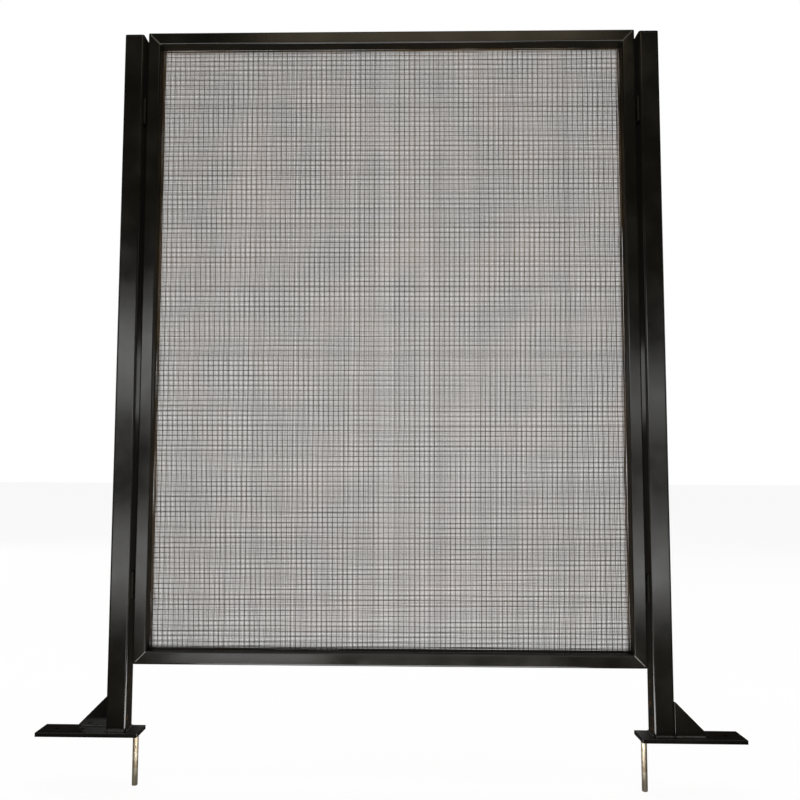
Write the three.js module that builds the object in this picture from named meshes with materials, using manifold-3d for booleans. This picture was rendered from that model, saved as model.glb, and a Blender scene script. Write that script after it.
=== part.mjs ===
// A hearth screen: a framed panel of woven wire that hangs by four pegs between two square-tube
// posts. Each post stands on its own foot plate, with a gusset, and a pin that goes down into the
// hearth. Millimetres: +X runs across the screen, +Y towards the fire, +Z up. The origin is midway
// between the posts, level with the undersides of the foot plates.

import * as THREE from "three";
import { mergeVertices } from "three/addons/utils/BufferGeometryUtils.js";
import Module from "manifold-3d";

const wasm = await Module();
wasm.setup();

// Panel: a mitred frame of rectangular tube.
const PANEL_WIDTH = 627;
const PANEL_HEIGHT = 804;
const PANEL_BOTTOM = 83.5; // above the hearth
const RAIL_FACE = 16; // the tube's width, seen from the front
const RAIL_DEPTH = 18;
const RAIL_WALL = 1.5;
const RAIL_CORNER = 2; // outer radius of the tube's own corners
const FRAME_CORNER = 3; // the four frame corners, ground round after welding

// Posts.
const POST_SIZE = 25;
const POST_WALL = 2;
const POST_CORNER = 3;
const POST_DROP = 4; // the post tops are this far below the panel's top
const CAP_THICKNESS = 2;
const SIDE_GAP = 4.5; // open gap between a post and the panel

// Foot plates.
const PLATE_THICKNESS = 5;
const PLATE_INNER_REACH = 16.5; // past the post's face, towards the panel
const PLATE_OUTER_REACH = 82.5;
const PLATE_FRONT_REACH = 9.5;
const PLATE_BACK_REACH = 1.5;
const SCREW_HOLE_DIAMETER = 5;
const SCREW_HOLES_FROM_END = [20, 52]; // from the plate's outer end

// Gussets, one on the outer side of each post.
const GUSSET_LEG = 40;
const GUSSET_THICKNESS = 4;
const GUSSET_BLUNT = 1.5; // the two sharp tips are cut this high
const GUSSET_INSET = 0.5; // from the post's front or back face

// Hearth pins.
const PIN_DIAMETER = 7;
const PIN_LENGTH = 61; // below the foot plate
const PIN_FROM_END = 6.5; // centre of the pin to the plate's inner end
const PIN_SEAT = 3; // depth of its blind hole in the plate
const PIN_CHAMFER = 0.8;

// Pegs on the panel, and the notched saddles on the posts that carry them.
const PEG_DIAMETER = 8;
const PEG_PLAY = 0.5; // all round the peg in its notch
const PEG_FROM_PANEL_END = 100; // from the panel's top and from its bottom
const NOTCH_DEPTH = 12; // saddle's top edge to the peg's centre
const SADDLE_WIDTH = 16;
const SADDLE_BELOW_PEG = 20;
const SADDLE_CLEARANCE = 1.7; // between a saddle and the panel

// Woven wire and the flat strips that clamp it to the back of the frame.
const MESH_THICKNESS = 0.6;
const MESH_TUCK = 4.5; // how far the wire runs in behind the frame
const STRIP_WIDTH = 12;
const STRIP_THICKNESS = 2;

// Strip screws.
const SHANK_DIAMETER = 3.6;
const SHANK_LENGTH = 8;
const HEAD_DIAMETER = 7;
const HEAD_HEIGHT = 2;
const HEAD_RIM = 0.6; // straight side of the head, below its dome
const SCREW_PLAY = 0.3; // all round the shank
const SCREWS_PER_RAIL = 3;
const SCREWS_PER_STILE = 4;
const SCREW_FROM_CORNER = 45;

const FIT_GAP = 0.3; // between pieces that are welded or screwed face to face
const ROUND_SIDES = 24;
const SMALL_ROUND_SIDES = 12;
const ARC_STEPS = 5;
const DOME_STEPS = 4;
const LEAST_RADIUS = 0.3; // of a tube's inner corners
const MERGE_TOLERANCE = 1e-4;

// Sizes that follow from those above.
const POST_X = PANEL_WIDTH / 2 + SIDE_GAP + POST_SIZE / 2;
const POST_TOP = PANEL_BOTTOM + PANEL_HEIGHT - POST_DROP;
const PLATE_LENGTH = PLATE_INNER_REACH + POST_SIZE + PLATE_OUTER_REACH;
const PLATE_DEPTH = PLATE_FRONT_REACH + POST_SIZE + PLATE_BACK_REACH;
const PLATE_Y = (PLATE_BACK_REACH - PLATE_FRONT_REACH) / 2;
const PLATE_OUTER_END = POST_SIZE / 2 + PLATE_OUTER_REACH; // from the post's centre line
const PLATE_INNER_END = POST_SIZE / 2 + PLATE_INNER_REACH;
const SADDLE_THICKNESS = SIDE_GAP - FIT_GAP - SADDLE_CLEARANCE;
const MESH_Y = RAIL_DEPTH / 2 + FIT_GAP + MESH_THICKNESS / 2;
const STRIP_Y = MESH_Y + MESH_THICKNESS / 2 + FIT_GAP + STRIP_THICKNESS / 2;
const STRIP_INSET = (RAIL_FACE - STRIP_WIDTH) / 2;
const HEAD_SEAT_Y = STRIP_Y + STRIP_THICKNESS / 2 + FIT_GAP;
const PEG_HEIGHTS = {
  upper: PANEL_BOTTOM + PANEL_HEIGHT - PEG_FROM_PANEL_END,
  lower: PANEL_BOTTOM + PEG_FROM_PANEL_END,
};

// Finishes.
const blackPaint = new THREE.MeshStandardMaterial({ color: 0x161616, roughness: 0.35, metalness: 0.1 });
const blackWire = new THREE.MeshStandardMaterial({ color: 0x2b2a28, roughness: 0.5, metalness: 0.4 });
const bareSteel = new THREE.MeshStandardMaterial({ color: 0xcfc8b2, roughness: 0.3, metalness: 1 });
const platedSteel = new THREE.MeshStandardMaterial({ color: 0x9a9a98, roughness: 0.35, metalness: 1 });

// A three.js geometry as a manifold-3d solid, and back.
function toSolid(geometry) {
  const bare = geometry.clone();
  bare.deleteAttribute("normal");
  bare.deleteAttribute("uv");
  const merged = mergeVertices(bare, MERGE_TOLERANCE);
  return new wasm.Manifold(
    new wasm.Mesh({
      numProp: 3,
      vertProperties: merged.attributes.position.array,
      triVerts: new Uint32Array(merged.index.array),
    }),
  );
}

function toGeometry(solid) {
  const mesh = solid.getMesh();
  const indexed = new THREE.BufferGeometry();
  indexed.setAttribute("position", new THREE.BufferAttribute(mesh.vertProperties, 3));
  indexed.setIndex(new THREE.BufferAttribute(mesh.triVerts, 1));
  const geometry = indexed.toNonIndexed();
  geometry.computeVertexNormals();
  return geometry;
}

function cut(geometry, tools) {
  return toGeometry(tools.reduce((solid, tool) => solid.subtract(toSolid(tool)), toSolid(geometry)));
}

function keep(geometry, tools) {
  return toGeometry(tools.reduce((solid, tool) => solid.intersect(toSolid(tool)), toSolid(geometry)));
}

// A rectangle with round corners, centred on (0, cy); Shape and Path both take it.
function roundedRectangle(Outline, width, height, radius, cy = 0) {
  const outline = new Outline();
  const x = width / 2 - radius;
  const y = height / 2 - radius;
  outline.moveTo(-x, cy - height / 2);
  outline.absarc(x, cy - y, radius, -Math.PI / 2, 0);
  outline.absarc(x, cy + y, radius, 0, Math.PI / 2);
  outline.absarc(-x, cy + y, radius, Math.PI / 2, Math.PI);
  outline.absarc(-x, cy - y, radius, Math.PI, 1.5 * Math.PI);
  outline.closePath();
  return outline;
}

// A rectangular tube standing on z = 0, open at both ends.
function tube(width, depth, wall, corner, length) {
  const section = roundedRectangle(THREE.Shape, width, depth, corner);
  section.holes.push(
    roundedRectangle(THREE.Path, width - 2 * wall, depth - 2 * wall, Math.max(corner - wall, LEAST_RADIUS)),
  );
  return new THREE.ExtrudeGeometry(section, {
    depth: length,
    bevelEnabled: false,
    curveSegments: ARC_STEPS,
  });
}

// An outline drawn in x and z, made a slab of a given thickness centred on y = 0.
function slab(shape, thickness) {
  const geometry = new THREE.ExtrudeGeometry(shape, {
    depth: thickness,
    bevelEnabled: false,
    curveSegments: ARC_STEPS,
  });
  return geometry.rotateX(Math.PI / 2).translate(0, thickness / 2, 0);
}

// A round bar or drill along y, centred on y = 0.
function roundAlongY(diameter, length, sides) {
  return new THREE.CylinderGeometry(diameter / 2, diameter / 2, length, sides);
}

function piece(name, geometry, material, x = 0, y = 0, z = 0) {
  const mesh = new THREE.Mesh(geometry, material);
  mesh.name = name;
  mesh.position.set(x, y, z);
  return mesh;
}

// ---- Post assembly: outward is -1 for the left post and +1 for the right one ----

function postTube() {
  const bottom = PLATE_THICKNESS + FIT_GAP;
  const top = POST_TOP - CAP_THICKNESS - FIT_GAP;
  return tube(POST_SIZE, POST_SIZE, POST_WALL, POST_CORNER, top - bottom).translate(0, 0, bottom);
}

function postCap() {
  const outline = roundedRectangle(THREE.Shape, POST_SIZE, POST_SIZE, POST_CORNER);
  return new THREE.ExtrudeGeometry(outline, {
    depth: CAP_THICKNESS,
    bevelEnabled: false,
    curveSegments: ARC_STEPS,
  }).translate(0, 0, POST_TOP - CAP_THICKNESS);
}

function pinX(outward) {
  return -outward * (PLATE_INNER_END - PIN_FROM_END);
}

function footPlate(outward) {
  const centre = (outward * (PLATE_OUTER_END - PLATE_INNER_END)) / 2;
  const plate = new THREE.BoxGeometry(PLATE_LENGTH, PLATE_DEPTH, PLATE_THICKNESS);
  plate.translate(centre, PLATE_Y, PLATE_THICKNESS / 2);
  const drills = SCREW_HOLES_FROM_END.map((fromEnd) =>
    roundAlongY(SCREW_HOLE_DIAMETER, 2 * PLATE_THICKNESS, ROUND_SIDES)
      .rotateX(Math.PI / 2)
      .translate(outward * (PLATE_OUTER_END - fromEnd), PLATE_Y, PLATE_THICKNESS / 2),
  );
  const seat = roundAlongY(PIN_DIAMETER + 2 * FIT_GAP, 2 * PIN_SEAT, ROUND_SIDES)
    .rotateX(Math.PI / 2)
    .translate(pinX(outward), PLATE_Y, 0);
  return cut(plate, [...drills, seat]);
}

function hearthPin() {
  const radius = PIN_DIAMETER / 2;
  const profile = [
    new THREE.Vector2(0, -PIN_LENGTH),
    new THREE.Vector2(radius - PIN_CHAMFER, -PIN_LENGTH),
    new THREE.Vector2(radius, -PIN_LENGTH + PIN_CHAMFER),
    new THREE.Vector2(radius, PIN_SEAT - FIT_GAP),
    new THREE.Vector2(0, PIN_SEAT - FIT_GAP),
  ];
  return new THREE.LatheGeometry(profile, ROUND_SIDES).rotateX(Math.PI / 2);
}

function gusset(outward) {
  const inner = POST_SIZE / 2 + FIT_GAP;
  const bottom = PLATE_THICKNESS + FIT_GAP;
  const corners = [
    [inner, bottom],
    [inner + GUSSET_LEG, bottom],
    [inner + GUSSET_LEG, bottom + GUSSET_BLUNT],
    [inner + GUSSET_BLUNT, bottom + GUSSET_LEG],
    [inner, bottom + GUSSET_LEG],
  ];
  const outline = new THREE.Shape(corners.map(([x, z]) => new THREE.Vector2(outward * x, z)));
  const fromCentre = POST_SIZE / 2 - GUSSET_INSET - GUSSET_THICKNESS / 2;
  return slab(outline, GUSSET_THICKNESS).translate(0, -outward * fromCentre, 0);
}

// An upright plate with a notch open at the top; the peg's centre line is z = 0.
function saddle() {
  const radius = PEG_DIAMETER / 2 + PEG_PLAY;
  const side = SADDLE_WIDTH / 2;
  const outline = new THREE.Shape();
  outline.moveTo(-side, -SADDLE_BELOW_PEG);
  outline.lineTo(side, -SADDLE_BELOW_PEG);
  outline.lineTo(side, NOTCH_DEPTH);
  outline.lineTo(radius, NOTCH_DEPTH);
  outline.absarc(0, 0, radius, 0, Math.PI, true);
  outline.lineTo(-radius, NOTCH_DEPTH);
  outline.lineTo(-side, NOTCH_DEPTH);
  outline.closePath();
  const plate = new THREE.ExtrudeGeometry(outline, {
    depth: SADDLE_THICKNESS,
    bevelEnabled: false,
    curveSegments: ROUND_SIDES / 2,
  });
  return plate.translate(0, 0, -SADDLE_THICKNESS / 2).rotateX(Math.PI / 2).rotateZ(Math.PI / 2);
}

function postAssembly(side, outward) {
  const group = new THREE.Group();
  group.position.x = outward * POST_X;
  const saddleX = -outward * (POST_SIZE / 2 + FIT_GAP + SADDLE_THICKNESS / 2);
  group.add(
    piece(`${side}_post`, postTube(), blackPaint),
    piece(`${side}_post_cap`, postCap(), blackPaint),
    piece(`${side}_foot_plate`, footPlate(outward), blackPaint),
    piece(`${side}_gusset`, gusset(outward), blackPaint),
    piece(`${side}_hearth_pin`, hearthPin(), bareSteel, pinX(outward), PLATE_Y),
  );
  for (const [level, z] of Object.entries(PEG_HEIGHTS))
    group.add(piece(`${side}_${level}_saddle`, saddle(), blackPaint, saddleX, 0, z));
  return group;
}

// ---- Panel: every frame member is drawn lying along x, with its outer face at z = 0 ----

function screwPlaces(length, count) {
  const first = -length / 2 + SCREW_FROM_CORNER;
  const pitch = (length - 2 * SCREW_FROM_CORNER) / (count - 1);
  return Array.from({ length: count }, (_, i) => first + i * pitch);
}

// The room between two 45 degree mitres, each set back by half the gap in the joint.
function mitrePrism(length) {
  const setBack = FIT_GAP / Math.SQRT2;
  const outer = length / 2 + RAIL_FACE - setBack;
  const inner = length / 2 - 2 * RAIL_FACE - setBack;
  const outline = new THREE.Shape([
    new THREE.Vector2(-outer, RAIL_FACE),
    new THREE.Vector2(-inner, -2 * RAIL_FACE),
    new THREE.Vector2(inner, -2 * RAIL_FACE),
    new THREE.Vector2(outer, RAIL_FACE),
  ]);
  return slab(outline, 2 * RAIL_DEPTH);
}

// A slab whose two upper corners are the frame's ground corners.
function groundCorners(length) {
  const height = 4 * RAIL_FACE;
  return slab(roundedRectangle(THREE.Shape, length, height, FRAME_CORNER, -height / 2), 2 * RAIL_DEPTH);
}

function frameMember(length, screwCount) {
  const bar = tube(RAIL_FACE, RAIL_DEPTH, RAIL_WALL, RAIL_CORNER, length)
    .translate(0, 0, -length / 2)
    .rotateY(Math.PI / 2)
    .translate(0, 0, -RAIL_FACE / 2);
  const mitred = keep(bar, [mitrePrism(length), groundCorners(length)]);
  const drills = screwPlaces(length, screwCount).map((x) =>
    roundAlongY(SHANK_DIAMETER + 2 * SCREW_PLAY, 4 * RAIL_WALL, SMALL_ROUND_SIDES).translate(
      x,
      RAIL_DEPTH / 2,
      -RAIL_FACE / 2,
    ),
  );
  return cut(mitred, drills);
}

// A clamp strip along x, on the middle line of its frame member.
function clampStrip(length, memberLength, screwCount) {
  const strip = new THREE.BoxGeometry(length, STRIP_THICKNESS, STRIP_WIDTH);
  const drills = screwPlaces(memberLength, screwCount).map((x) =>
    roundAlongY(SHANK_DIAMETER + 2 * SCREW_PLAY, 2 * STRIP_THICKNESS, SMALL_ROUND_SIDES).translate(x, 0, 0),
  );
  return cut(strip, drills);
}

// A screw along y with its domed head at the back; y = 0 is where the head seats.
function stripScrew() {
  const profile = [
    new THREE.Vector2(0, -SHANK_LENGTH),
    new THREE.Vector2(SHANK_DIAMETER / 2, -SHANK_LENGTH),
    new THREE.Vector2(SHANK_DIAMETER / 2, 0),
    new THREE.Vector2(HEAD_DIAMETER / 2, 0),
  ];
  for (let i = 0; i <= DOME_STEPS; i++) {
    const angle = (i / DOME_STEPS) * (Math.PI / 2);
    const y = HEAD_RIM + (HEAD_HEIGHT - HEAD_RIM) * Math.sin(angle);
    profile.push(new THREE.Vector2(i === DOME_STEPS ? 0 : (HEAD_DIAMETER / 2) * Math.cos(angle), y));
  }
  return new THREE.LatheGeometry(profile, SMALL_ROUND_SIDES);
}

function framedSide({ name, length, distance, turn, strip, screwCount }) {
  const group = new THREE.Group();
  group.rotation.y = turn;
  group.position.set(distance * Math.sin(turn), 0, distance * Math.cos(turn));
  group.add(
    piece(name, frameMember(length, screwCount), blackPaint),
    piece(`${name}_strip`, clampStrip(strip, length, screwCount), blackPaint, 0, STRIP_Y, -RAIL_FACE / 2),
  );
  screwPlaces(length, screwCount).forEach((x, i) => {
    const screwName = `${name}_screw_${i + 1}`;
    group.add(piece(screwName, stripScrew(), platedSteel, x, HEAD_SEAT_Y, -RAIL_FACE / 2));
  });
  return group;
}

function panelPeg() {
  const length = SIDE_GAP - 2 * FIT_GAP;
  return roundAlongY(PEG_DIAMETER, length, ROUND_SIDES).rotateZ(Math.PI / 2);
}

function panel() {
  const group = new THREE.Group();
  const centreZ = PANEL_BOTTOM + PANEL_HEIGHT / 2;
  const railStrip = PANEL_WIDTH - 2 * STRIP_INSET;
  const stileStrip = PANEL_HEIGHT - 2 * (STRIP_INSET + STRIP_WIDTH + FIT_GAP);
  const rail = {
    length: PANEL_WIDTH,
    distance: PANEL_HEIGHT / 2,
    strip: railStrip,
    screwCount: SCREWS_PER_RAIL,
  };
  const stile = {
    length: PANEL_HEIGHT,
    distance: PANEL_WIDTH / 2,
    strip: stileStrip,
    screwCount: SCREWS_PER_STILE,
  };
  const frame = new THREE.Group();
  frame.position.z = centreZ;
  frame.add(
    framedSide({ ...rail, name: "top_rail", turn: 0 }),
    framedSide({ ...stile, name: "right_stile", turn: Math.PI / 2 }),
    framedSide({ ...rail, name: "bottom_rail", turn: Math.PI }),
    framedSide({ ...stile, name: "left_stile", turn: -Math.PI / 2 }),
  );
  const opening = (size) => size - 2 * RAIL_FACE + 2 * MESH_TUCK;
  const sheet = new THREE.BoxGeometry(opening(PANEL_WIDTH), MESH_THICKNESS, opening(PANEL_HEIGHT));
  group.add(frame, piece("wire_mesh", sheet, blackWire, 0, MESH_Y, centreZ));
  for (const [side, outward] of [["left", -1], ["right", 1]])
    for (const [level, z] of Object.entries(PEG_HEIGHTS)) {
      const x = outward * (PANEL_WIDTH / 2 + SIDE_GAP / 2);
      group.add(piece(`${side}_${level}_peg`, panelPeg(), blackPaint, x, 0, z));
    }
  return group;
}

const screen = new THREE.Group();
screen.add(postAssembly("left", -1), postAssembly("right", 1), panel());

export default screen;
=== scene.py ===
"""A hearth screen: a lift-off panel of woven wire between two welded square posts.

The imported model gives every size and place. The classes below build the visible pieces around it:
HearthPost makes each post with its foot, PanelFrame the mitred frame, WireCloth the woven wire,
StripSet the clamping strips with their screws, and Studio the floor, lights and camera.
"""

import logging
import math
import random
from collections.abc import Callable
from dataclasses import dataclass, field
from enum import Enum

import bmesh
import bpy
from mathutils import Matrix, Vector


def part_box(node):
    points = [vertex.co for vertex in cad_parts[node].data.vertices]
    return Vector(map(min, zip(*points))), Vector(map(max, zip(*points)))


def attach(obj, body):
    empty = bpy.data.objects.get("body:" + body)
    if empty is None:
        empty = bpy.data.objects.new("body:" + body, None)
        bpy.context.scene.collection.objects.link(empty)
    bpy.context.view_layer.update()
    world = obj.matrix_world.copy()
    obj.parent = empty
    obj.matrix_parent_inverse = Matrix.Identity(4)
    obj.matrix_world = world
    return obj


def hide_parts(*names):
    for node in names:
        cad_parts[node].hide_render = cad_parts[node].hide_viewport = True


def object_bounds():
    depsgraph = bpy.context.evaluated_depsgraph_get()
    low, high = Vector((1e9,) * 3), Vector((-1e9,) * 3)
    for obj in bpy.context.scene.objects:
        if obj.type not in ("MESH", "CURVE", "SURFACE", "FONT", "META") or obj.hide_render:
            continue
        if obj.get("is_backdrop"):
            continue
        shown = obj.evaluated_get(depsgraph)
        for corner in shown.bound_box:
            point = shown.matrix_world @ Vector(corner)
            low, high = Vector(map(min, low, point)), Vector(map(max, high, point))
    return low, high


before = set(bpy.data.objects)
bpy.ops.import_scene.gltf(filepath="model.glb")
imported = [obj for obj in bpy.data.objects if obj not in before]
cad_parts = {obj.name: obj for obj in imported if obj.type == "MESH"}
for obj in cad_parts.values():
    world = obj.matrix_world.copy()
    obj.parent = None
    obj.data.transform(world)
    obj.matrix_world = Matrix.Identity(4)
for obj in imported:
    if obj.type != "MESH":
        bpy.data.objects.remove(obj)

logging.basicConfig(level=logging.INFO, format="%(message)s")
log = logging.getLogger("hearth_screen")

MM = 0.001
Test = Callable[[Vector, Vector], bool]


class Axis(Enum):
    """The row frame's three directions, by their place in a vector."""

    X = 0
    Y = 1
    Z = 2

    @property
    def unit(self) -> Vector:
        """A vector one metre long in this direction."""
        return Vector([float(i == self.value) for i in range(3)])


class Element(Enum):
    """What an edit-mode choice picks."""

    EDGE = "EDGE"
    FACE = "FACE"


class Side(Enum):
    """Which post: the value is its direction along X."""

    LEFT = -1
    RIGHT = 1

    @property
    def label(self) -> str:
        """The side's name as the nodes have it."""
        return self.name.lower()


# ---- Colour and shader nodes ----


def colour(code: str) -> tuple[float, float, float, float]:
    """Turn an sRGB hex code into a linear colour.

    Args:
        code: Six hex digits after a hash sign.

    Returns:
        Red, green, blue and alpha, linear.
    """
    parts = [int(code[i : i + 2], 16) / 255 for i in (1, 3, 5)]
    linear = [p / 12.92 if p <= 0.04045 else ((p + 0.055) / 1.055) ** 2.4 for p in parts]
    return (*linear, 1.0)


def per_metre(size_mm: float) -> float:
    """Give the texture scale at which one feature is size_mm across."""
    return 1 / (size_mm * MM)


def add_node(
    tree: bpy.types.NodeTree, kind: str, inputs: dict | None = None, **settings: object
) -> bpy.types.Node:
    """Add one node with its settings and links.

    Args:
        tree: The node tree.
        kind: The node's type name.
        inputs: Socket names or numbers, each with a value or another node's output.
        settings: The node's own properties.

    Returns:
        The new node.
    """
    node = tree.nodes.new(kind)
    for key, value in settings.items():
        setattr(node, key, value)
    for socket, value in (inputs or {}).items():
        if isinstance(value, bpy.types.NodeSocket):
            tree.links.new(value, node.inputs[socket])
        else:
            node.inputs[socket].default_value = value
    return node


def empty_material(name: str) -> bpy.types.Material:
    """Make a material whose tree holds nothing."""
    material = bpy.data.materials.new(name)
    material.use_nodes = True
    material.node_tree.nodes.clear()
    return material


@dataclass(frozen=True)
class SprayedPaint:
    """Semi-gloss black spray enamel on welded mild steel: near black, with soft long reflections.

    The spray leaves orange peel, and the drawn tube under it leaves long faint waves, so a
    reflection runs along the member and breaks up a little. Dust dulls it in patches; on the weld
    beads the light dust patches and lighter film are partly painted highlight.
    """

    name: str = "spray_enamel_black"
    film: str = "#0c0c0b"
    thin_film: str = "#191710"
    dust: str = "#4b4640"
    dust_share: float = 0.10
    rust: str = "#6b4a22"
    rust_below: float = 0.0
    gloss: float = 0.5
    roughness_low: float = 0.13
    roughness_high: float = 0.21
    peel_mm: float = 1.6
    wave_mm: float = 9.0
    wave_length_mm: float = 160.0
    patch_mm: float = 42.0

    def make(self) -> bpy.types.Material:
        """Build the material.

        Returns:
            The finished material.
        """
        material = empty_material(self.name)
        tree = material.node_tree
        place = add_node(tree, "ShaderNodeTexCoord").outputs["Object"]
        patches = add_node(
            tree, "ShaderNodeTexNoise", {"Vector": place, "Scale": per_metre(self.patch_mm), "Detail": 4.0}
        ).outputs["Fac"]
        grit = add_node(
            tree, "ShaderNodeTexNoise", {"Vector": place, "Scale": per_metre(2.4), "Detail": 3.0}
        ).outputs["Fac"]
        film = add_node(
            tree,
            "ShaderNodeMix",
            {0: patches, 6: colour(self.film), 7: colour(self.thin_film)},
            data_type="RGBA",
        ).outputs[2]
        # Patches of the dust colour: real dust on the posts and frame, partly painted highlight on the weld
        # beads.
        dust_and_sheen_patches = add_node(
            tree, "ShaderNodeMapRange", {"Value": patches, 1: 0.5, 2: 0.75, 3: 0.0, 4: self.dust_share}
        ).outputs[0]
        settled_dust_and_sheen = add_node(tree, "ShaderNodeMath", {0: dust_and_sheen_patches, 1: grit}, operation="MULTIPLY").outputs[0]
        base = add_node(
            tree, "ShaderNodeMix", {0: settled_dust_and_sheen, 6: film, 7: colour(self.dust)}, data_type="RGBA"
        ).outputs[2]
        if self.rust_below > 0:
            height = add_node(tree, "ShaderNodeSeparateXYZ", {0: place}).outputs["Z"]
            low = add_node(
                tree, "ShaderNodeMapRange", {"Value": height, 1: self.rust_below, 2: 0.0, 3: 0.0, 4: 1.0}
            ).outputs[0]
            specks = add_node(
                tree, "ShaderNodeTexNoise", {"Vector": place, "Scale": per_metre(5.0), "Detail": 6.0}
            ).outputs["Fac"]
            spots = add_node(
                tree, "ShaderNodeMapRange", {"Value": specks, 1: 0.56, 2: 0.68, 3: 0.0, 4: 0.8}
            ).outputs[0]
            facing = add_node(tree, "ShaderNodeNewGeometry").outputs["Normal"]
            sideways = add_node(tree, "ShaderNodeSeparateXYZ", {0: facing}).outputs["X"]
            inner = add_node(tree, "ShaderNodeMath", {0: sideways, 1: 8.0}, operation="POWER").outputs[0]
            reach = add_node(tree, "ShaderNodeMath", {0: low, 1: inner}, operation="MULTIPLY").outputs[0]
            rusty = add_node(tree, "ShaderNodeMath", {0: reach, 1: spots}, operation="MULTIPLY").outputs[0]
            base = add_node(
                tree, "ShaderNodeMix", {0: rusty, 6: base, 7: colour(self.rust)}, data_type="RGBA"
            ).outputs[2]
        roughness = add_node(
            tree,
            "ShaderNodeMapRange",
            {"Value": patches, 1: 0.3, 2: 0.7, 3: self.roughness_low, 4: self.roughness_high},
        ).outputs[0]
        stretched = add_node(
            tree,
            "ShaderNodeMapping",
            {
                "Vector": place,
                "Scale": (per_metre(self.wave_mm), per_metre(self.wave_mm), per_metre(self.wave_length_mm)),
            },
        ).outputs[0]
        waves = add_node(
            tree, "ShaderNodeTexNoise", {"Vector": stretched, "Scale": 1.0, "Detail": 1.0}
        ).outputs["Fac"]
        peel = add_node(
            tree, "ShaderNodeTexNoise", {"Vector": place, "Scale": per_metre(self.peel_mm), "Detail": 1.0}
        ).outputs["Fac"]
        drawn = add_node(
            tree, "ShaderNodeBump", {"Height": waves, "Strength": 0.5, "Distance": 0.05 * MM}
        ).outputs[0]
        peeled = add_node(
            tree,
            "ShaderNodeBump",
            {"Height": peel, "Strength": 0.4, "Distance": 0.02 * MM, "Normal": drawn},
        ).outputs[0]
        shader = add_node(
            tree,
            "ShaderNodeBsdfPrincipled",
            {
                "Base Color": base,
                "Roughness": roughness,
                "Normal": peeled,
                "IOR": 1.5,
                "Specular IOR Level": self.gloss,
            },
        ).outputs[0]
        add_node(tree, "ShaderNodeOutputMaterial", {"Surface": shader})
        return material


@dataclass(frozen=True)
class WireFinish:
    """Black-coated plain-weave steel wire: alternate crossings take the dark coat colour as painted shade
    where a wire passes under, and the same checker makes a bump.

    The coating is worn through to warm grey in patches a hand across, which tints the cloth. Towards the
    bottom less of it is worn, and a plum tint darkened as painted shade comes in: darker towards the hearth.
    """

    name: str = "coated_wire_woven"
    coat: str = "#241d15"
    worn: str = "#8a7252"
    flushed_and_shaded: str = "#6c4a56"
    flush_and_shade_below: float = 0.55
    flush_and_shade_full_at: float = 0.1
    worn_share_high: float = 0.9
    worn_share_low_in_shade: float = 0.25
    crossing_mm: float = 3.2
    patch_mm: float = 70.0

    def make(self) -> bpy.types.Material:
        """Build the material.

        Returns:
            The finished material.
        """
        material = empty_material(self.name)
        tree = material.node_tree
        place = add_node(tree, "ShaderNodeTexCoord").outputs["Object"]
        patches = add_node(
            tree, "ShaderNodeTexNoise", {"Vector": place, "Scale": per_metre(self.patch_mm), "Detail": 2.0}
        ).outputs["Fac"]
        # Checker of the crossings: a bump, and painted shade where a wire passes under.
        weave = add_node(
            tree, "ShaderNodeTexChecker", {"Vector": place, "Scale": per_metre(self.crossing_mm / 2)}
        ).outputs["Fac"]
        blush = add_node(
            tree, "ShaderNodeTexNoise", {"Vector": place, "Scale": per_metre(120.0), "Detail": 1.0}
        ).outputs["Fac"]
        flush = add_node(
            tree, "ShaderNodeMapRange", {"Value": blush, 1: 0.45, 2: 0.7, 3: 0.0, 4: 1.0}
        ).outputs[0]
        height = add_node(tree, "ShaderNodeSeparateXYZ", {0: place}).outputs["Z"]
        # Painted shade mask, growing towards the bottom of the cloth.
        low = add_node(
            tree,
            "ShaderNodeMapRange",
            {"Value": height, 1: self.flush_and_shade_below, 2: self.flush_and_shade_full_at, 3: 0.0, 4: 1.0},
        ).outputs[0]
        lower = add_node(tree, "ShaderNodeMath", {0: flush, 1: low}, operation="MULTIPLY").outputs[0]
        # Plum tint, darkened low down as painted shade.
        tint = add_node(
            tree,
            "ShaderNodeMix",
            {0: lower, 6: colour(self.worn), 7: colour(self.flushed_and_shaded)},
            data_type="RGBA",
        ).outputs[2]
        # Less of the worn colour low down: painted shade.
        most = add_node(
            tree,
            "ShaderNodeMapRange",
            {
                "Value": height,
                1: self.flush_and_shade_below,
                2: self.flush_and_shade_full_at,
                3: self.worn_share_high,
                4: self.worn_share_low_in_shade,
            },
        ).outputs[0]
        share = add_node(
            tree, "ShaderNodeMapRange", {"Value": patches, 1: 0.3, 2: 0.7, 3: 0.1, 4: most}
        ).outputs[0]
        # Coat mixed with the worn colour, darker low down as painted shade.
        worn = add_node(
            tree, "ShaderNodeMix", {0: share, 6: colour(self.coat), 7: tint}, data_type="RGBA"
        ).outputs[2]
        # Alternate cells take the dark coat colour: painted shade of the wires passing under.
        base = add_node(
            tree, "ShaderNodeMix", {0: weave, 6: worn, 7: colour(self.coat)}, data_type="RGBA"
        ).outputs[2]
        raised = add_node(
            tree, "ShaderNodeBump", {"Height": weave, "Strength": 0.6, "Distance": 0.1 * MM}
        ).outputs[0]
        roughness = add_node(
            tree, "ShaderNodeMapRange", {"Value": patches, 1: 0.3, 2: 0.7, 3: 0.38, 4: 0.55}
        ).outputs[0]
        shader = add_node(
            tree,
            "ShaderNodeBsdfPrincipled",
            {
                "Base Color": base,
                "Roughness": roughness,
                "Normal": raised,
                "Metallic": 0.1,
                "Specular IOR Level": 0.3,
            },
        ).outputs[0]
        add_node(tree, "ShaderNodeOutputMaterial", {"Surface": shader})
        return material


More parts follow.
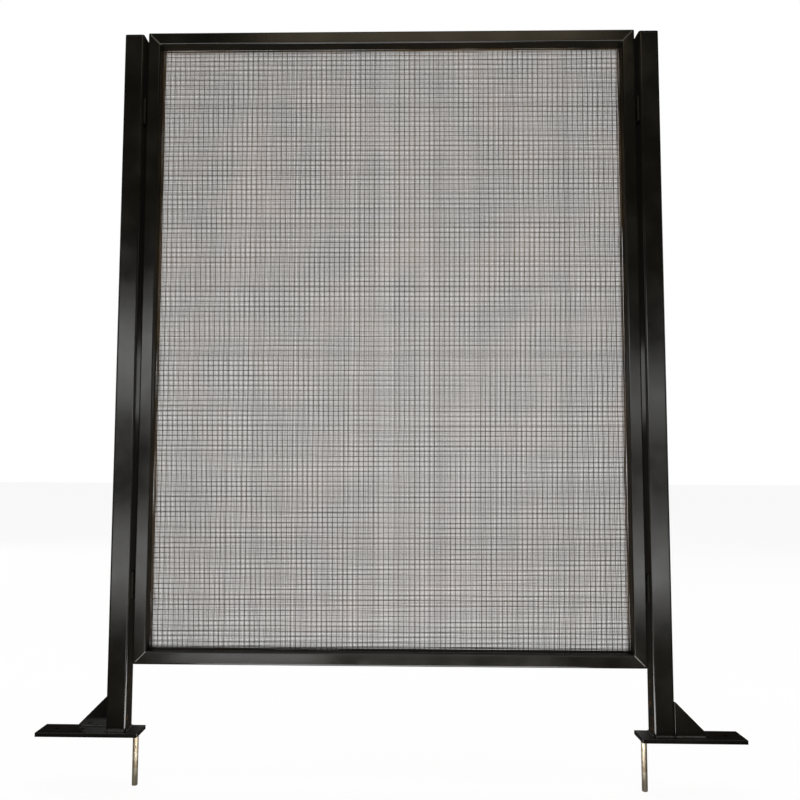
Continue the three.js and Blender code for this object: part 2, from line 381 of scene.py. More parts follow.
@dataclass(frozen=True)
class BareMetal:
    """Bare or plated steel, drawn or turned: a bright metal with lines along the way it was worked."""

    name: str
    clean: str
    stain_and_reflection: str
    roughness: float
    line_mm: float
    line_length_mm: float
    stain_and_reflection_mm: float = 12.0

    def make(self) -> bpy.types.Material:
        """Build the material.

        Returns:
            The finished material.
        """
        material = empty_material(self.name)
        tree = material.node_tree
        place = add_node(tree, "ShaderNodeTexCoord").outputs["Object"]
        stretched = add_node(
            tree,
            "ShaderNodeMapping",
            {
                "Vector": place,
                "Scale": (per_metre(self.line_mm), per_metre(self.line_mm), per_metre(self.line_length_mm)),
            },
        ).outputs[0]
        lines = add_node(
            tree, "ShaderNodeTexNoise", {"Vector": stretched, "Scale": 1.0, "Detail": 3.0}
        ).outputs["Fac"]
        # Patches of the second colour: stains on the screws; on the pin a painted reflection, standing in
        # for the brown reflection down its side.
        stain_and_reflection_patches = add_node(
            tree, "ShaderNodeTexNoise", {"Vector": place, "Scale": per_metre(self.stain_and_reflection_mm), "Detail": 4.0}
        ).outputs["Fac"]
        share = add_node(
            tree, "ShaderNodeMapRange", {"Value": stain_and_reflection_patches, 1: 0.45, 2: 0.75, 3: 0.0, 4: 1.0}
        ).outputs[0]
        base = add_node(
            tree,
            "ShaderNodeMix",
            {0: share, 6: colour(self.clean), 7: colour(self.stain_and_reflection)},
            data_type="RGBA",
        ).outputs[2]
        roughness = add_node(
            tree,
            "ShaderNodeMapRange",
            {"Value": lines, 1: 0.3, 2: 0.7, 3: self.roughness, 4: self.roughness + 0.15},
        ).outputs[0]
        grooved = add_node(
            tree, "ShaderNodeBump", {"Height": lines, "Strength": 0.4, "Distance": 0.03 * MM}
        ).outputs[0]
        shader = add_node(
            tree,
            "ShaderNodeBsdfPrincipled",
            {"Base Color": base, "Roughness": roughness, "Normal": grooved, "Metallic": 1.0},
        ).outputs[0]
        add_node(tree, "ShaderNodeOutputMaterial", {"Surface": shader})
        return material


class Finishes:
    """The materials, each made once."""

    def __init__(self) -> None:
        """Make every finish."""
        self.paint = SprayedPaint().make()
        self.post_paint = SprayedPaint(name="spray_enamel_black_low", rust_below=0.13).make()
        # The weld beads' lighter film and heavy dust are partly painted highlight, standing in for the light
        # lines that the beads catch.
        self.bead_paint = SprayedPaint(
            name="spray_enamel_weld", film="#1d1c1a", thin_film="#5a564d", dust="#8c877c", dust_share=0.8
        ).make()
        self.gap_paint = SprayedPaint(
            name="spray_enamel_thin_dry", roughness_low=0.62, roughness_high=0.8, dust_share=0.03, gloss=0.15
        ).make()
        self.wire = WireFinish().make()
        # The pin's brown second colour is painted reflection, laid in patches over the cream metal.
        self.pin = BareMetal("mild_steel_drawn", "#fff6de", "#a8865a", 0.5, 0.5, 40.0, 18.0).make()
        self.screw = BareMetal("zinc_plated_steel", "#b9bbb9", "#8f8b7d", 0.3, 0.3, 0.3, 3.0).make()


# ---- Modelling by operators ----


def pick(*objects: bpy.types.Object) -> None:
    """Select these objects alone, with the first one active."""
    bpy.ops.object.select_all(action="DESELECT")
    for obj in objects:
        obj.select_set(True)
    bpy.context.view_layer.objects.active = objects[0]


def settle(obj: bpy.types.Object, name: str) -> bpy.types.Object:
    """Name an object and put its place, turn and size in its mesh."""
    pick(obj)
    bpy.ops.object.transform_apply(location=True, rotation=True, scale=True)
    obj.name = name
    obj.data.name = name
    return obj


def block(name: str, low: Vector, high: Vector) -> bpy.types.Object:
    """Add a box that fills the space between two corners.

    Args:
        name: The piece's name.
        low: Lowest corner, in metres.
        high: Highest corner, in metres.

    Returns:
        The new object.
    """
    bpy.ops.object.select_all(action="DESELECT")
    bpy.ops.mesh.primitive_cube_add(size=1, location=(low + high) / 2)
    obj = bpy.context.object
    obj.scale = high - low
    return settle(obj, name)


def rod(name: str, start: Vector, end: Vector, radius: float, sides: int) -> bpy.types.Object:
    """Add a round bar between two points.

    Args:
        name: The piece's name.
        start: Centre of one end, in metres.
        end: Centre of the other end.
        radius: Its radius, in metres.
        sides: How many sides the round has.

    Returns:
        The new object.
    """
    bpy.ops.object.select_all(action="DESELECT")
    way = end - start
    bpy.ops.mesh.primitive_cylinder_add(
        vertices=sides,
        radius=radius,
        depth=way.length,
        location=(start + end) / 2,
        rotation=way.to_track_quat("Z", "Y").to_euler(),
    )
    return settle(bpy.context.object, name)


def choose(element: Element, test: Test) -> None:
    """In edit mode, select only the faces or edges that pass a test.

    Args:
        element: Faces or edges.
        test: Takes the element's middle and its normal, or an edge's direction.
    """
    bpy.ops.mesh.select_mode(type=element.value)
    bpy.ops.mesh.select_all(action="DESELECT")
    data = bpy.context.edit_object.data
    mesh = bmesh.from_edit_mesh(data)
    for item in mesh.faces if element is Element.FACE else mesh.edges:
        corners = [v.co for v in item.verts]
        middle = sum(corners, Vector()) / len(corners)
        way = item.normal if element is Element.FACE else (corners[1] - corners[0]).normalized()
        if test(middle, way):
            item.select_set(True)
    bmesh.update_edit_mesh(data)


def edit(obj: bpy.types.Object) -> None:
    """Open one object in edit mode."""
    pick(obj)
    bpy.ops.object.mode_set(mode="EDIT")


def close_edit() -> None:
    """Go back to object mode."""
    bpy.ops.object.mode_set(mode="OBJECT")


def modify(obj: bpy.types.Object, kind: str, **settings: object) -> None:
    """Add a modifier, set it and apply it.

    Args:
        obj: The object.
        kind: The modifier's type name.
        settings: Its properties.
    """
    pick(obj)
    modifier = obj.modifiers.new(kind.lower(), kind)
    for key, value in settings.items():
        setattr(modifier, key, value)
    bpy.ops.object.modifier_apply(modifier=modifier.name)


def cut(obj: bpy.types.Object, tool: bpy.types.Object, operation: str = "DIFFERENCE") -> None:
    """Cut an object with another one, which is then removed."""
    modify(obj, "BOOLEAN", object=tool, operation=operation, solver="EXACT")
    bpy.data.objects.remove(tool)


def smooth(obj: bpy.types.Object, angle: float = 40.0) -> None:
    """Shade an object smooth below an angle in degrees, and keep its flats flat."""
    pick(obj)
    bpy.ops.object.shade_smooth_by_angle(angle=math.radians(angle))
    modify(obj, "WEIGHTED_NORMAL", keep_sharp=True, weight=100)


def ease_edges(obj: bpy.types.Object, radius: float, segments: int = 3) -> None:
    """Round every sharp edge of an object."""
    modify(obj, "BEVEL", width=radius, segments=segments, limit_method="ANGLE", angle_limit=math.radians(35))


def tube(name: str, low: Vector, high: Vector, along: Axis, wall: float, corner: float,
         mitres: tuple[tuple[Vector, Vector], ...] = ()) -> bpy.types.Object:
    """Make a length of rectangular tube, open at both ends.

    Args:
        name: The piece's name.
        low: Lowest corner, in metres.
        high: Highest corner.
        along: The direction that it runs in.
        wall: Wall thickness.
        corner: Outer radius of its four corners.
        mitres: Cuts across it, each a point and the direction of the side thrown away.

    Returns:
        The tube.
    """
    obj = block(name, low, high)
    edit(obj)
    choose(Element.EDGE, lambda middle, way: abs(way[along.value]) > 0.9)
    bpy.ops.mesh.bevel(offset=corner, segments=5, affect="EDGES")
    for point, waste in mitres:
        bpy.ops.mesh.select_all(action="SELECT")
        bpy.ops.mesh.bisect(plane_co=point, plane_no=waste, use_fill=True, clear_outer=True)
    choose(Element.FACE, lambda middle, way: abs(way[along.value]) > 0.5)
    bpy.ops.mesh.inset(thickness=wall, use_individual=True)
    bpy.ops.mesh.bridge_edge_loops()
    close_edit()
    return obj


def displace(obj: bpy.types.Object, strength: float, spread: Vector, direction: str, depth: int = 1) -> None:
    """Push an object's points about by smooth noise.

    Args:
        obj: The object.
        strength: How far apart the two extremes are, in metres.
        spread: How far apart the noise's features are along X, Y and Z, in metres.
        direction: X, Y, Z or NORMAL.
        depth: Levels of finer noise.
    """
    guide = bpy.data.objects.new("noise_guide", None)
    bpy.context.scene.collection.objects.link(guide)
    guide.scale = spread
    bpy.context.view_layer.update()
    clouds = bpy.data.textures.new("noise", "CLOUDS")
    clouds.noise_scale = 1.0
    clouds.noise_depth = depth
    modify(
        obj,
        "DISPLACE",
        texture=clouds,
        texture_coords="OBJECT",
        texture_coords_object=guide,
        direction=direction,
        strength=strength,
        mid_level=0.5,
    )
    bpy.data.objects.remove(guide)


def dress(obj: bpy.types.Object, material: bpy.types.Material) -> bpy.types.Object:
    """Give an object one material."""
    obj.data.materials.clear()
    obj.data.materials.append(material)
    return obj


def hand_over(obj: bpy.types.Object, body: str, slot: str, *nodes: str) -> None:
    """Put a finished piece on its body.

    Args:
        obj: The finished piece.
        body: The body that it moves with.
        slot: The record's material slot; not used.
        nodes: The frame's nodes that it stands for.
    """
    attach(obj, body)
    if nodes:
        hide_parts(*nodes)
    log.info("made %s on %s: %d faces", obj.name, body, len(obj.data.polygons))


@dataclass
class WeldBead:
    """A run of weld, laid as overlapping ripples along a seam."""

    radius: float = 1.6 * MM
    ripple: float = 1.7 * MM
    ripple_height: float = 0.22 * MM
    unevenness: float = 0.5 * MM
    sides: int = 10

    def lay(self, name: str, start: Vector, end: Vector, flatten: Axis | None = None,
            height: float = 1.0) -> bpy.types.Object:
        """Lay one bead.

        Args:
            name: The bead's name.
            start: Where it starts.
            end: Where it ends.
            flatten: The direction in which it was ground down, if it was.
            height: What is left of it in that direction, as a share.

        Returns:
            The bead.
        """
        obj = rod(name, start, end, self.radius, self.sides)
        way = (end - start).normalized()
        count = max(4, 2 * round((end - start).length / self.ripple / 2))
        edit(obj)
        choose(Element.EDGE, lambda middle, direction: abs(direction.dot(way)) > 0.9)
        bpy.ops.mesh.subdivide(number_cuts=count - 1)
        step = (end - start).length / count
        choose(
            Element.EDGE,
            lambda middle, direction: abs(direction.dot(way)) < 0.1
            and round((middle - start).dot(way) / step) % 2 == 0,
        )
        bpy.ops.transform.shrink_fatten(value=-self.ripple_height)
        if flatten:
            bpy.ops.mesh.select_all(action="SELECT")
            squeeze = [height if axis is flatten else 1.0 for axis in Axis]
            bpy.ops.transform.resize(value=squeeze, center_override=(start + end) / 2)
        close_edit()
        displace(obj, self.unevenness, Vector([4 * MM] * 3), "NORMAL", 2)
        pick(obj)
        bpy.ops.object.shade_smooth()
        return obj


def join(name: str, objects: list[bpy.types.Object]) -> bpy.types.Object:
    """Join objects into one piece."""
    pick(*objects)
    bpy.ops.object.join()
    return settle(bpy.context.object, name)


# ---- Sub-assemblies ----


@dataclass
class HearthPost:
    """One square post with its cap, foot plate, gusset, pin and saddles."""

    side: Side
    wall: float = 2 * MM
    corner: float = 3 * MM
    plate_edge: float = 0.5 * MM
    hole_radius: float = 2.5 * MM
    holes_from_end: tuple[float, float] = (20 * MM, 52 * MM)
    gusset_edge: float = 0.5 * MM
    gusset_blunt: float = 1.5 * MM
    pin_chamfer: float = 1.0 * MM
    bead: WeldBead = field(default_factory=WeldBead)

    def node(self, name: str) -> str:
        """The frame's name for one of this post's nodes."""
        return f"{self.side.label}_{name}"

    def box(self, name: str) -> tuple[Vector, Vector]:
        """Lowest and highest corner of one of this post's nodes."""
        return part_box(self.node(name))

    def piece(self, name: str) -> str:
        """The name of a visible piece of this post."""
        return f"{self.side.label}_{name}"

    def build(self, finishes: Finishes) -> None:
        """Build and dress every piece of the post.

        Args:
            finishes: The materials.
        """
        self.build_tube(finishes.post_paint)
        self.build_cap(finishes.paint)
        self.build_plate(finishes.paint)
        self.build_gusset(finishes.paint)
        self.build_pin(finishes.pin)
        self.build_welds(finishes.bead_paint)
        for level in ("upper", "lower"):
            dress(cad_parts[self.node(f"{level}_saddle")], finishes.gap_paint)
            dress(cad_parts[self.node(f"{level}_peg")], finishes.gap_paint)

    def build_tube(self, material: bpy.types.Material) -> None:
        """The post itself, a length of square tube."""
        low, high = self.box("post")
        obj = tube(self.piece("post_tube"), low, high, Axis.Z, self.wall, self.corner)
        smooth(obj)
        hand_over(dress(obj, material), "posts", "black_paint", self.node("post"))

    def build_cap(self, material: bpy.types.Material) -> None:
        """The plate that closes the post's top, with its corners ground to the tube's."""
        low, high = self.box("post_cap")
        obj = block(self.piece("post_lid"), low, high)
        edit(obj)
        choose(Element.EDGE, lambda middle, way: abs(way.z) > 0.9)
        bpy.ops.mesh.bevel(offset=self.corner, segments=5, affect="EDGES")
        close_edit()
        ease_edges(obj, 0.4 * MM, 2)
        smooth(obj)
        hand_over(dress(obj, material), "posts", "black_paint", self.node("post_cap"))

    def build_plate(self, material: bpy.types.Material) -> None:
        """The foot plate, a length of flat bar with two drilled holes."""
        low, high = self.box("foot_plate")
        obj = block(self.piece("foot"), low, high)
        ease_edges(obj, self.plate_edge)
        outer = max(low.x * self.side.value, high.x * self.side.value)
        middle = (low.y + high.y) / 2
        for distance in self.holes_from_end:
            x = self.side.value * (outer - distance)
            drill = rod("drill", Vector((x, middle, low.z - MM)), Vector((x, middle, high.z + MM)),
                        self.hole_radius, 32)
            cut(obj, drill)
        smooth(obj, 30)
        hand_over(dress(obj, material), "posts", "black_paint", self.node("foot_plate"))

    def build_gusset(self, material: bpy.types.Material) -> None:
        """The triangular gusset, cut from flat bar on the slope."""
        low, high = self.box("gusset")
        obj = block(self.piece("brace"), low, high)
        foot = max(low.x * self.side.value, high.x * self.side.value) * self.side.value
        point = Vector((foot, 0, low.z + self.gusset_blunt))
        slope = Vector((self.side.value, 0, 1)).normalized()
        edit(obj)
        bpy.ops.mesh.select_all(action="SELECT")
        bpy.ops.mesh.bisect(plane_co=point, plane_no=slope, use_fill=True, clear_outer=True)
        close_edit()
        ease_edges(obj, self.gusset_edge)
        smooth(obj)
        hand_over(dress(obj, material), "posts", "black_paint", self.node("gusset"))

    def build_pin(self, material: bpy.types.Material) -> None:
        """The bright pin under the plate, with its tip chamfered."""
        low, high = self.box("hearth_pin")
        centre = (low + high) / 2
        radius = (high.x - low.x) / 2
        top, tip = Vector((centre.x, centre.y, high.z)), Vector((centre.x, centre.y, low.z))
        obj = rod(self.piece("ground_pin"), top, tip, radius, 32)
        edit(obj)
        choose(Element.EDGE, lambda middle, way: abs(way.z) < 0.1 and middle.z < low.z + MM)
        bpy.ops.mesh.bevel(offset=self.pin_chamfer, segments=3, affect="EDGES")
        close_edit()
        smooth(obj)
        hand_over(dress(obj, material), "posts", "bare_steel", self.node("hearth_pin"))

    def build_welds(self, material: bpy.types.Material) -> None:
        """The beads round the post's foot and along the gusset."""
        post_low, post_high = self.box("post")
        gusset_low, gusset_high = self.box("gusset")
        level = self.box("foot_plate")[1].z
        reach = self.bead.radius * 0.2
        corners = [
            Vector((post_low.x - reach, post_low.y - reach, level)),
            Vector((post_high.x + reach, post_low.y - reach, level)),
            Vector((post_high.x + reach, post_high.y + reach, level)),
            Vector((post_low.x - reach, post_high.y + reach, level)),
        ]
        inset = self.corner * 0.6
        runs = []
        for i, start in enumerate(corners):
            end = corners[(i + 1) % len(corners)]
            way = (end - start).normalized()
            runs.append(self.bead.lay("run", start + way * inset, end - way * inset))
        outer = self.side.value
        near = post_high.x if outer > 0 else post_low.x
        far = gusset_high.x if outer > 0 else gusset_low.x
        for y in (gusset_low.y - reach, gusset_high.y + reach):
            foot = Vector((near, y, level))
            runs.append(self.bead.lay("run", foot, Vector((far - outer * 4 * MM, y, level))))
            if y > 0:
                runs.append(self.bead.lay("run", foot, Vector((near, y, gusset_high.z - 4 * MM))))
        obj = join(self.piece("foot_welds"), runs)
        hand_over(dress(obj, material), "posts", "black_paint")


@dataclass
class PanelFrame:
    """The mitred frame of rectangular tube, and the welds at its corners."""

    wall: float = 1.5 * MM
    corner: float = 2 * MM
    frame_corner: float = 3 * MM
    mitre_gap: float = 0.05 * MM
    bead: WeldBead = field(
        default_factory=lambda: WeldBead(radius=1.1 * MM, ripple=1.5 * MM, unevenness=0.4 * MM)
    )

    def outer(self) -> tuple[Vector, Vector]:
        """Lowest and highest corner of the whole frame."""
        left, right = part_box("left_stile"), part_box("right_stile")
        bottom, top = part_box("bottom_rail"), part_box("top_rail")
        return Vector((left[0].x, left[0].y, bottom[0].z)), Vector((right[1].x, right[1].y, top[1].z))

    def build(self, finishes: Finishes) -> None:
        """Build and dress the four members and their welds.

        Args:
            finishes: The materials.
        """
        low, high = self.outer()
        names = {
            "top_rail": (Axis.X, 1),
            "bottom_rail": (Axis.X, -1),
            "left_stile": (Axis.Z, -1),
            "right_stile": (Axis.Z, 1),
        }
        for name, (along, place) in names.items():
            obj = self.build_member(name, along, place, low, high)
            hand_over(dress(obj, finishes.paint), "panel", "black_paint", name)
        self.build_welds(finishes.bead_paint, low, high)

    def build_member(
        self, name: str, along: Axis, place: int, low: Vector, high: Vector
    ) -> bpy.types.Object:
        """Cut one member to its mitres.

        Args:
            name: The node that it stands for.
            along: The direction that it runs in.
            place: -1 for the low side of the frame and 1 for the high side.
            low: The frame's lowest corner.
            high: The frame's highest corner.

        Returns:
            The member.
        """
        member_low, member_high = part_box(name)
        across = Axis.Z if along is Axis.X else Axis.X
        start, end = member_low.copy(), member_high.copy()
        start[along.value], end[along.value] = low[along.value], high[along.value]
        mitres = []
        for way in (-1, 1):
            corner = Vector((0, 0, 0))
            corner[along.value] = high[along.value] if way > 0 else low[along.value]
            corner[across.value] = high[across.value] if place > 0 else low[across.value]
            corner -= along.unit * way * self.mitre_gap
            waste = (along.unit * way - across.unit * place).normalized()
            mitres.append((corner, waste))
        obj = tube(f"{name}_tube", start, end, along, self.wall, self.corner, tuple(mitres))
        shell = block("frame_outline", low - Vector((0, MM, 0)), high + Vector((0, MM, 0)))
        edit(shell)
        choose(Element.EDGE, lambda middle, direction: abs(direction.y) > 0.9)
        bpy.ops.mesh.bevel(offset=self.frame_corner, segments=6, affect="EDGES")
        close_edit()
        cut(obj, shell, "INTERSECT")
        smooth(obj)
        return obj

    def build_welds(self, material: bpy.types.Material, low: Vector, high: Vector) -> None:
        """Lay the four mitre welds on the front face, ground nearly flush."""
        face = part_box("top_rail")
        width = face[1].z - face[0].z
        for name, x, z, left_standing in (
            ("top_left", low.x, high.z, 0.15),
            ("top_right", high.x, high.z, 0.35),
            ("bottom_left", low.x, low.z, 0.7),
            ("bottom_right", high.x, low.z, 0.7),
        ):
            inward = Vector((-math.copysign(1, x), 0, -1 if z == high.z else 1))
            corner = Vector((x, low.y, z))
            start, end = corner + inward * self.frame_corner, corner + inward * width
            obj = self.bead.lay(f"{name}_mitre_weld", start, end, Axis.Y, left_standing)
            hand_over(dress(obj, material), "panel", "black_paint")


@dataclass
class WireCloth:
    """Plain-woven wire in two layers of wires, with a folded hem behind the frame whose wires, packed
    closest at the frame, are also painted shade along its inner edge.

    Real cloth of this mesh has wire about 0.28 mm thick. Its wires are drawn wider and flatter, so
    that the cloth shuts out as much light as the real one does at this distance.
    """

    pitch: float = 1.6 * MM
    width: float = 0.66 * MM
    width_spread: float = 0.14
    place_spread: float = 0.15 * MM
    heavy_every: int = 4
    heavy_share: float = 1.6
    light_share: float = 0.82
    seed: int = 5
    thickness: float = 0.26 * MM
    upright_cuts: int = 23
    crosswise_cuts: int = 17
    wander: float = 1.2 * MM
    wander_across: float = 26 * MM
    wander_along: float = 60 * MM
    # Hem wire offsets from the frame, packed closest at the frame: partly a real hem, partly painted shade
    # along the frame's inner edge.
    hem: tuple[float, ...] = (0.1 * MM, 0.8 * MM, 1.6 * MM, 2.8 * MM, 4.2 * MM)

    def build(self, finishes: Finishes) -> None:
        """Weave and dress both layers and the hem, whose wires also paint shade along the frame.

        Args:
            finishes: The materials.
        """
        low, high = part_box("wire_mesh")
        layers = (
            ("upright_wires", Axis.Z, Axis.X, low.y + 0.15 * MM, self.upright_cuts),
            ("crosswise_wires", Axis.X, Axis.Z, high.y - 0.15 * MM, self.crosswise_cuts),
        )
        for name, along, across, level, cuts in layers:
            obj = self.build_layer(name, low, high, along, across, level, cuts)
            hand_over(dress(obj, finishes.wire), "panel", "black_wire", "wire_mesh")
        self.build_hem_and_edge_shade(low, high, finishes.wire)

    def build_wire(self, length: float, along: Axis, cuts: int) -> bpy.types.Object:
        """Model one wire at the origin, a four-sided bar cut into lengths so that it can wander."""
        across = Axis.X if along is Axis.Z else Axis.Z
        half = across.unit * self.width / 2 + Axis.Y.unit * self.thickness / 2 + along.unit * length / 2
        obj = block("wire", -half, half)
        edit(obj)
        choose(Element.EDGE, lambda middle, way: abs(way[along.value]) > 0.9)
        bpy.ops.mesh.subdivide(number_cuts=cuts)
        close_edit()
        return obj

    def copy_wire(
        self, model: bpy.types.Object, place: Vector, across: Axis, share: float
    ) -> bpy.types.Object:
        """Put a copy of a wire at a place, with its width a share of the usual one."""
        obj = model.copy()
        obj.data = model.data.copy()
        obj.location = place
        obj.scale[across.value] = share
        bpy.context.scene.collection.objects.link(obj)
        return obj

    def build_layer(self, name: str, low: Vector, high: Vector, along: Axis, across: Axis, level: float,
                    cuts: int) -> bpy.types.Object:
        """Lay one layer of parallel wires, no two quite alike in place or width, some of them heavier.

        Args:
            name: The layer's name.
            low: The cloth's lowest corner.
            high: The cloth's highest corner.
            along: The direction that the wires run in.
            across: The direction in which they repeat.
            level: The Y of the layer's middle.
            cuts: Cuts along each wire.

        Returns:
            The layer.
        """
        draw = random.Random(self.seed + along.value)
        span = high[across.value] - low[across.value]
        count = round(span / self.pitch)
        model = self.build_wire(high[along.value] - low[along.value], along, cuts)
        wires = []
        for i in range(count):
            place = (low + high) / 2
            place.y = level
            place[across.value] = low[across.value] + (i + 0.5) * span / count
            place[across.value] += draw.uniform(-self.place_spread, self.place_spread)
            share = self.light_share if i % self.heavy_every else self.heavy_share
            share += draw.uniform(-self.width_spread, self.width_spread)
            wires.append(self.copy_wire(model, place, across, share))
        bpy.data.objects.remove(model)
        obj = join(name, wires)
        spread = Vector((1, 1, 1))
        spread[across.value], spread[along.value] = self.wander_across, self.wander_along
        displace(obj, self.wander, spread, across.name, 2)
        return obj

    def build_hem_and_edge_shade(self, low: Vector, high: Vector, material: bpy.types.Material) -> None:
        """Lay the hem's wires along the four inner edges of the frame, closest together at the frame, where
        they also stand as painted shade.
        """
        left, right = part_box("left_stile")[1].x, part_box("right_stile")[0].x
        bottom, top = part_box("bottom_rail")[1].z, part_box("top_rail")[0].z
        middle = (low + high) / 2
        middle.y = high.y - 0.02 * MM - self.thickness / 2
        upright = self.build_wire(high.z - low.z, Axis.Z, self.upright_cuts)
        crosswise = self.build_wire(high.x - low.x, Axis.X, self.crosswise_cuts)
        made = []
        for distance in self.hem:
            for x in (left + distance, right - distance):
                made.append(self.copy_wire(upright, Vector((x, middle.y, middle.z)), Axis.X, 1.0))
            for z in (bottom + distance, top - distance):
                made.append(self.copy_wire(crosswise, Vector((middle.x, middle.y, z)), Axis.Z, 1.0))
        bpy.data.objects.remove(upright)
        bpy.data.objects.remove(crosswise)
        obj = join("hem_and_edge_shade_wires", made)
        for axis in (Axis.X, Axis.Z):
            displace(obj, self.wander, Vector((70 * MM, 1, 70 * MM)), axis.name, 1)
        hand_over(dress(obj, material), "panel", "black_wire", "wire_mesh")


@dataclass
class StripSet:
    """The flat strips that clamp the wire cloth to the frame's back, and their screws."""

    screws: dict[str, int] = field(
        default_factory=lambda: {"top_rail": 3, "bottom_rail": 3, "left_stile": 4, "right_stile": 4}
    )
    strip_edge: float = 0.4 * MM
    slot_width: float = 0.9 * MM
    slot_length: float = 3.8 * MM
    slot_depth: float = 1.1 * MM

    def build(self, finishes: Finishes) -> None:
        """Build and dress every strip and screw.

        Args:
            finishes: The materials.
        """
        model = self.build_screw()
        for member, count in self.screws.items():
            low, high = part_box(f"{member}_strip")
            strip = block(f"{member}_clamp", low, high)
            ease_edges(strip, self.strip_edge, 2)
            smooth(strip)
            hand_over(dress(strip, finishes.paint), "panel", "black_paint", f"{member}_strip")
            for i in range(1, count + 1):
                node = f"{member}_screw_{i}"
                self.place_screw(model, node, finishes.screw)
        bpy.data.objects.remove(model)

    def build_screw(self) -> bpy.types.Object:
        """Model one pan-head screw with a cross recess, about its own head.

        Returns:
            The screw, with the top of its head at the origin and its shank along -Y.
        """
        low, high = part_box("top_rail_screw_1")
        radius, length = (high.x - low.x) / 2, high.y - low.y
        head = 2 * MM
        top = Vector((0, 0, 0))
        cap = rod("screw", Vector((0, -head, 0)), top, radius, 28)
        edit(cap)
        choose(Element.EDGE, lambda middle, way: abs(way.y) < 0.1 and middle.y > -0.1 * MM)
        bpy.ops.mesh.bevel(offset=1.3 * MM, segments=5, affect="EDGES")
        close_edit()
        for across in (Axis.X, Axis.Z):
            other = Axis.Z if across is Axis.X else Axis.X
            half = across.unit * self.slot_length / 2 + other.unit * self.slot_width / 2
            cut(cap, block("driver", -half - Axis.Y.unit * self.slot_depth, half + Axis.Y.unit * MM))
        shank = rod("shank", Vector((0, -length, 0)), Vector((0, -head * 0.6, 0)), 1.8 * MM, 20)
        obj = join("screw_model", [cap, shank])
        smooth(obj)
        return obj

    def place_screw(self, model: bpy.types.Object, node: str, material: bpy.types.Material) -> None:
        """Put a copy of the screw where a node is, turned by an amount of its own."""
        low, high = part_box(node)
        obj = model.copy()
        obj.data = model.data.copy()
        bpy.context.scene.collection.objects.link(obj)
        centre = (low + high) / 2
        obj.location = (centre.x, high.y, centre.z)
        obj.rotation_euler = (0, (centre.x * 37 + centre.z * 23) % math.pi, 0)
        settle(obj, f"{node}_pan_head")
        hand_over(dress(obj, material), "panel", "plated_steel", node)


# ---- Studio ----


@dataclass(frozen=True)
class Softbox:
    """One soft light: a rectangle at a place, aimed at a point."""

    name: str
    place: tuple[float, float, float]
    aim: tuple[float, float, float]
    width: float
    height: float
    brightness: float
    tint: str = "#ffffff"

    def hang(self) -> None:
        """Add the light; its power follows from its brightness and its area."""
        light = bpy.data.lights.new(self.name, "AREA")
        light.shape = "RECTANGLE"
        light.size, light.size_y = self.width, self.height
        light.energy = self.brightness * math.pi * self.width * self.height
        light.color = colour(self.tint)[:3]
        obj = bpy.data.objects.new(self.name, light)
        obj.location = self.place
        way = Vector(self.aim) - Vector(self.place)
        obj.rotation_euler = way.to_track_quat("-Z", "Y").to_euler()
        obj.visible_camera = False
        bpy.context.scene.collection.objects.link(obj)


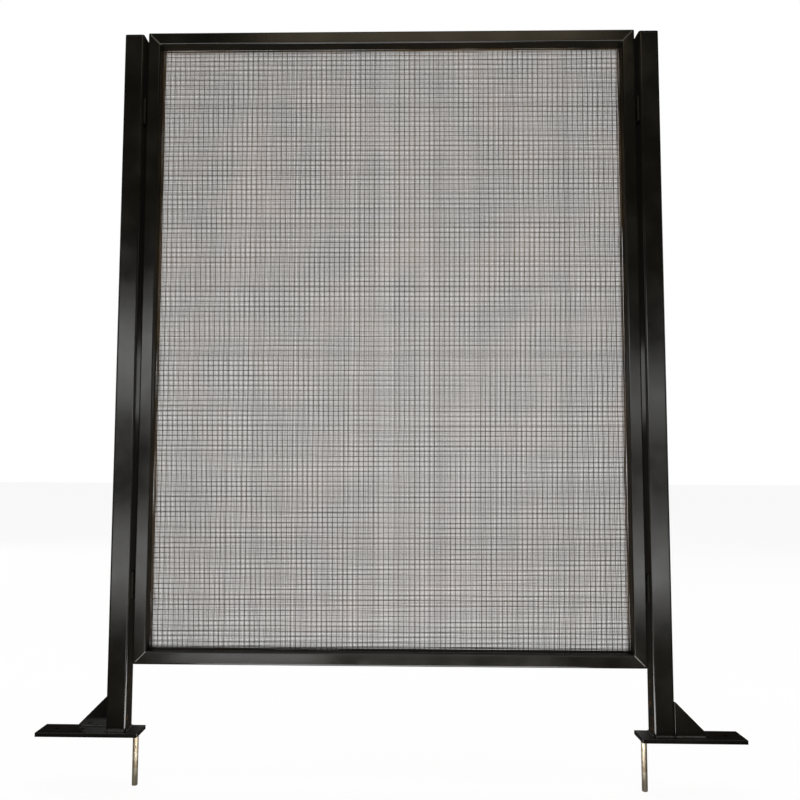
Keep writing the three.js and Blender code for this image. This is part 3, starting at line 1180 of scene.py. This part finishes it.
@dataclass
class Studio:
    """A pale floor, soft light and the camera."""

    camera_place: tuple[float, float, float] = (0.0051, -1.034, 0.3176)
    camera_turn: tuple[float, float, float] = (94.491, -0.224, 1.25)
    lens: float = 37.16
    shift: tuple[float, float] = (0.0314, 0.0108)
    floor_size: float = 60.0
    lights: tuple[Softbox, ...] = (
        Softbox("left_softbox", (-1.35, -3.0, 0.88), (-1.35, 0, 0.88), 1.3, 0.46, 3.4),
        Softbox("middle_softbox", (0, -3.0, 0.8), (0, 0, 0.45), 1.3, 0.5, 3.0),
        Softbox("right_softbox", (1.35, -3.0, 0.68), (1.35, 0, 0.68), 1.3, 0.30, 2.4),
        Softbox("warm_upper_card", (0.2, -3.0, 2.6), (0.1, 0, 0.88), 1.75, 0.5, 1.3, "#ffe9c4"),
        Softbox("far_floor_card", (0, -3.1, -0.05), (0, -3.1, 1), 4.4, 3.4, 3.3),
        Softbox("low_left_card", (-0.29, -0.76, -0.05), (-0.29, -0.76, 1), 0.30, 0.34, 3.2),
        Softbox("edge_uplight", (0, -0.22, -0.05), (0, -0.22, 1), 0.56, 0.26, 9.0),
        Softbox("low_back_card", (0, 3.0, 0.76), (0, 0, 0.76), 2.4, 0.34, 0.4),
        Softbox("top_softbox", (0, 0.3, 3.2), (0, 0, 0), 4.0, 3.0, 1.3),
        Softbox("left_side_softbox", (-3.2, -0.1, 0.9), (0, 0, 0.5), 1.0, 1.5, 1.1),
        Softbox("right_side_softbox", (3.2, -0.1, 0.9), (0, 0, 0.5), 1.0, 1.5, 1.1),
        Softbox("back_left_softbox", (-2.6, 2.6, 1.3), (0, 0, 0.45), 1.2, 2.0, 2.2),
        Softbox("back_right_softbox", (2.8, 2.2, 1.0), (0, 0, 0.45), 1.0, 1.8, 1.6),
    )

    def build(self) -> None:
        """Set up the floor, the surroundings, the lights and the camera."""
        bpy.context.scene.view_settings.view_transform = "Standard"
        self.lay_floor()
        self.paint_surroundings()
        for light in self.lights:
            light.hang()
        self.set_camera()
        log.info("studio ready: %d lights", len(self.lights))

    def lay_floor(self) -> None:
        """Lay a pale matt floor level with the tips of the pins. Reflections leave it out."""
        bpy.ops.object.select_all(action="DESELECT")
        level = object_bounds()[0][2] - 0.5 * MM
        bpy.ops.mesh.primitive_plane_add(size=self.floor_size, location=(0, 0, level))
        floor = settle(bpy.context.object, "studio_floor")
        material = empty_material("pale_studio_paint")
        tree = material.node_tree
        place = add_node(tree, "ShaderNodeTexCoord").outputs["Object"]
        mottle = add_node(
            tree, "ShaderNodeTexNoise", {"Vector": place, "Scale": per_metre(300)}
        ).outputs["Fac"]
        base = add_node(
            tree, "ShaderNodeMix", {0: mottle, 6: colour("#5c5c5c"), 7: colour("#646464")}, data_type="RGBA"
        ).outputs[2]
        shader = add_node(
            tree,
            "ShaderNodeBsdfPrincipled",
            {
                "Base Color": base,
                "Roughness": 0.9,
                "Specular IOR Level": 0.0,
                "Emission Color": colour("#ffffff"),
                "Emission Strength": 0.94,
            },
        ).outputs[0]
        add_node(tree, "ShaderNodeOutputMaterial", {"Surface": shader})
        dress(floor, material)
        floor.visible_glossy = False
        floor.visible_diffuse = False
        floor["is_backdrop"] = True

    def paint_surroundings(self) -> None:
        """Show a pale backdrop, and light the object by a much dimmer one, so that black stays black."""
        world = bpy.data.worlds.new("surroundings")
        bpy.context.scene.world = world
        world.use_nodes = True
        tree = world.node_tree
        tree.nodes.clear()
        seen = add_node(tree, "ShaderNodeLightPath").outputs["Is Camera Ray"]
        pale = add_node(
            tree, "ShaderNodeBackground", {"Color": colour("#ffffff"), "Strength": 1.0}
        ).outputs[0]
        way = add_node(tree, "ShaderNodeTexCoord").outputs["Generated"]
        height = add_node(tree, "ShaderNodeSeparateXYZ", {0: way}).outputs["Z"]
        strength = add_node(
            tree, "ShaderNodeMapRange", {"Value": height, 1: -0.4, 2: 0.3, 3: 0.05, 4: 0.012}
        ).outputs[0]
        dim = add_node(
            tree, "ShaderNodeBackground", {"Color": colour("#fff4e6"), "Strength": strength}
        ).outputs[0]
        mixed = add_node(tree, "ShaderNodeMixShader", {0: seen, 1: dim, 2: pale}).outputs[0]
        add_node(tree, "ShaderNodeOutputWorld", {"Surface": mixed})

    def set_camera(self) -> None:
        """Put the camera low in front of the panel, tipped up a little."""
        data = bpy.data.cameras.new("camera")
        data.lens = self.lens
        data.shift_x, data.shift_y = self.shift
        obj = bpy.data.objects.new("camera", data)
        obj.location = self.camera_place
        obj.rotation_euler = [math.radians(a) for a in self.camera_turn]
        bpy.context.scene.collection.objects.link(obj)
        bpy.context.scene.camera = obj


def main() -> None:
    """Build the studio, then every sub-assembly."""
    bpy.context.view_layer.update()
    Studio().build()
    finishes = Finishes()
    for side in Side:
        HearthPost(side).build(finishes)
    PanelFrame().build(finishes)
    WireCloth().build(finishes)
    StripSet().build(finishes)


if __name__ == "__main__":
    main()
